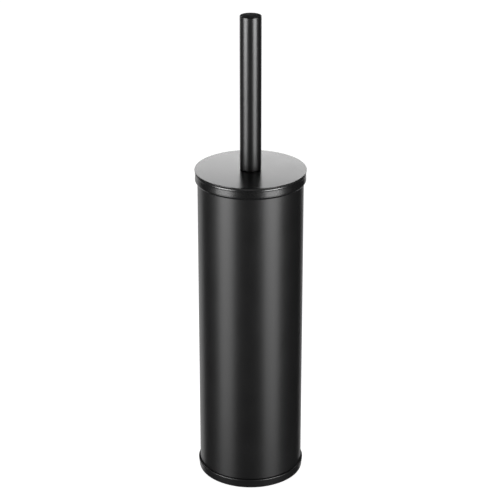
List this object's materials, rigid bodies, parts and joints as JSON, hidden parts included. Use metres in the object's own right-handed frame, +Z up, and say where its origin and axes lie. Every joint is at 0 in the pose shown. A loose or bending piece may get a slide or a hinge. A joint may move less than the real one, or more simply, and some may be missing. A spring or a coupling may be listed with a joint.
{
  "type": "toilet brush holder",
  "caption": "Free-standing toilet brush holder: tall round painted steel tube with a drip liner, and a flat round lid that carries a straight tube handle and the brush.",
  "frame": {"origin": "centre of the foot ring's underside, on the floor, under the holder's axis", "axes": "+Z up along the holder's axis of symmetry, towards the handle's top; X and Y lie in the floor plane, and the part is round, so their direction is free"},
  "size_m": [0.0904, 0.0904, 0.3975],
  "materials": {
    "black_paint": "satin",
    "collar_plastic": "satin",
    "cap_plastic": "matte",
    "foot_rubber": "matte",
    "liner_plastic": "satin",
    "gasket_rubber": "matte",
    "insert_plastic": "satin",
    "bush_nylon": "satin",
    "plated_steel": "satin",
    "rod_steel": "satin",
    "core_plastic": "satin",
    "bristle_fibre": "matte"
  },
  "bodies": {
    "holder": {"foot_ring": "foot_rubber", "base_cap": "black_paint", "outer_tube": "black_paint", "top_collar": "collar_plastic", "inner_liner": "liner_plastic"},
    "lid": {"lid_plate": "black_paint", "lid_gasket": "gasket_rubber", "lid_insert": "insert_plastic", "lid_bush": "bush_nylon", "bush_nut": "bush_nylon"},
    "brush": {"handle_tube": "black_paint", "handle_cap": "cap_plastic", "handle_plug": "plated_steel", "tie_stud": "plated_steel", "pivot_sleeve": "plated_steel", "thrust_washer": "plated_steel", "rod_tube": "rod_steel", "rod_top_plug": "plated_steel", "rod_bottom_plug": "plated_steel", "head_stud": "plated_steel", "brush_core": "core_plastic", "bristles": "bristle_fibre"}
  },
  "joints": [
    {"name": "brush_lift", "type": "slide", "parent": "holder", "child": "lid", "axis": [0, 0, 1], "range_m": [0, 0.3]},
    {"name": "brush_turn", "type": "hinge", "parent": "lid", "child": "brush", "pos_m": [0, 0, 0.2679], "axis": [0, 0, 1], "continuous": true}
  ]
}
